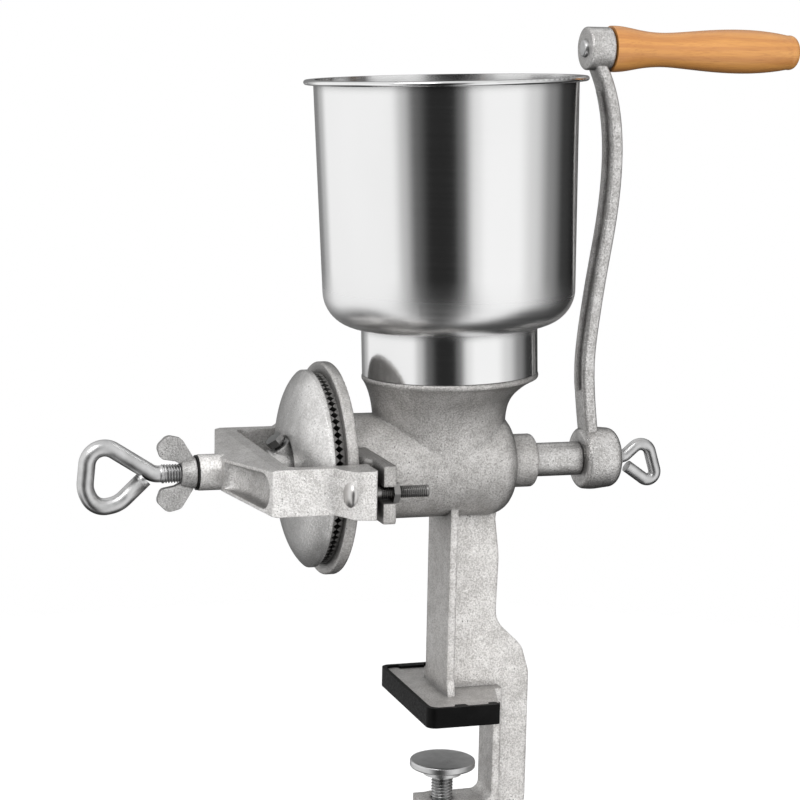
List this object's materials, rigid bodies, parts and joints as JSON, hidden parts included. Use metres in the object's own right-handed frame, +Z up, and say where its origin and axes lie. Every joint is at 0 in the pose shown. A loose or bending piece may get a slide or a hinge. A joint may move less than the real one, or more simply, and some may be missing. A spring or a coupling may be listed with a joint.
{
  "type": "hand crank grain mill",
  "caption": "Table-clamp hand mill: deep spun hopper on a cast body, cranked feed screw, toothed grinding plates pressed together by a screw in a yoke.",
  "frame": {"origin": "middle of the rubber boot's sole under the foot, where it rests on the table top", "axes": "+X along the feed shaft towards the crank, +Z up out of the table, -Y towards the side in the picture"},
  "size_m": [0.3966, 0.156, 0.5223],
  "materials": {
    "cast_iron": "grainy tinned casting",
    "burr_iron": "ground, hardened",
    "hopper_steel": "polished",
    "zinc_steel": "bright plated",
    "bolt_steel": "dull plated",
    "black_bolts": "blackened",
    "boot_rubber": "matt",
    "grip_wood": "turned and lacquered"
  },
  "bodies": {
    "mill": {"mill_body": "cast_iron", "foot_boot": "boot_rubber", "fixed_plate": "burr_iron", "fixed_plate_screws": "zinc_steel", "yoke": "cast_iron", "yoke_bolts": "bolt_steel", "yoke_nuts": "bolt_steel"},
    "hopper_unit": {"hopper": "hopper_steel"},
    "thrust": {"thrust_ball": "zinc_steel"},
    "adjuster": {"adjusting_screw": "zinc_steel"},
    "rotor": {"feed_screw": "cast_iron", "plate_carrier": "cast_iron", "turning_plate": "burr_iron", "turning_plate_screws": "zinc_steel", "hub_set_screw": "black_bolts", "crank_arm": "cast_iron", "grip_bolt": "zinc_steel", "grip_washer": "zinc_steel"},
    "handle": {"grip": "grip_wood"},
    "lock_ring": {"lock_washer": "zinc_steel"},
    "lock_nut": {"wing_nut": "zinc_steel"},
    "crank_washer": {"thumbscrew_washer": "zinc_steel"},
    "crank_screw": {"crank_thumbscrew": "zinc_steel"},
    "clamp_foot": {"clamp_pad": "zinc_steel"},
    "clamp_spindle": {"clamp_screw": "zinc_steel"}
  },
  "joints": [
    {"name": "hopper_lift", "type": "slide", "parent": "mill", "child": "hopper_unit", "axis": [-0.0384, 0, 0.9993], "range_m": [0, 0.008]},
    {"name": "grind_gap", "type": "slide", "parent": "mill", "child": "thrust", "axis": [1, 0, 0], "range_m": [-0.00225, 0.00038]},
    {"name": "adjusting_screw_turn", "type": "hinge", "parent": "thrust", "child": "adjuster", "pos_m": [-0.14, 0, 0.134], "axis": [1, 0, 0], "range_deg": [-540, 90]},
    {"name": "crank_turn", "type": "hinge", "parent": "thrust", "child": "rotor", "pos_m": [0.04, 0, 0.134], "axis": [1, 0, 0], "continuous": true},
    {"name": "grip_spin", "type": "hinge", "parent": "rotor", "child": "handle", "pos_m": [0.14, 0, 0.3565], "axis": [1, 0, 0], "continuous": true},
    {"name": "lock_washer_slide", "type": "slide", "parent": "mill", "child": "lock_ring", "axis": [1, 0, 0], "range_m": [-0.003, 0]},
    {"name": "wing_nut_turn", "type": "hinge", "parent": "lock_ring", "child": "lock_nut", "pos_m": [-0.145, 0, 0.134], "axis": [1, 0, 0], "range_deg": [-720, 0]},
    {"name": "thumbscrew_washer_slide", "type": "slide", "parent": "rotor", "child": "crank_washer", "axis": [1, 0, 0], "range_m": [0, 0.005]},
    {"name": "thumbscrew_turn", "type": "hinge", "parent": "crank_washer", "child": "crank_screw", "pos_m": [0.1, 0, 0.134], "axis": [1, 0, 0], "range_deg": [0, 1440]},
    {"name": "clamp_height", "type": "slide", "parent": "mill", "child": "clamp_foot", "axis": [0, 0, 1], "range_m": [-0.01225, 0.02625]},
    {"name": "clamp_screw_turn", "type": "hinge", "parent": "clamp_foot", "child": "clamp_spindle", "pos_m": [0, 0, -0.08], "axis": [0, 0, 1], "range_deg": [-2520, 5400]}
  ],
  "couplings": [
    {"joint": "adjusting_screw_turn", "follows": "grind_gap", "rad_per_m": 4188.8},
    {"joint": "wing_nut_turn", "follows": "lock_washer_slide", "rad_per_m": 4188.8},
    {"joint": "thumbscrew_turn", "follows": "thumbscrew_washer_slide", "rad_per_m": 5026.5},
    {"joint": "clamp_screw_turn", "follows": "clamp_height", "rad_per_m": 3590.4}
  ]
}
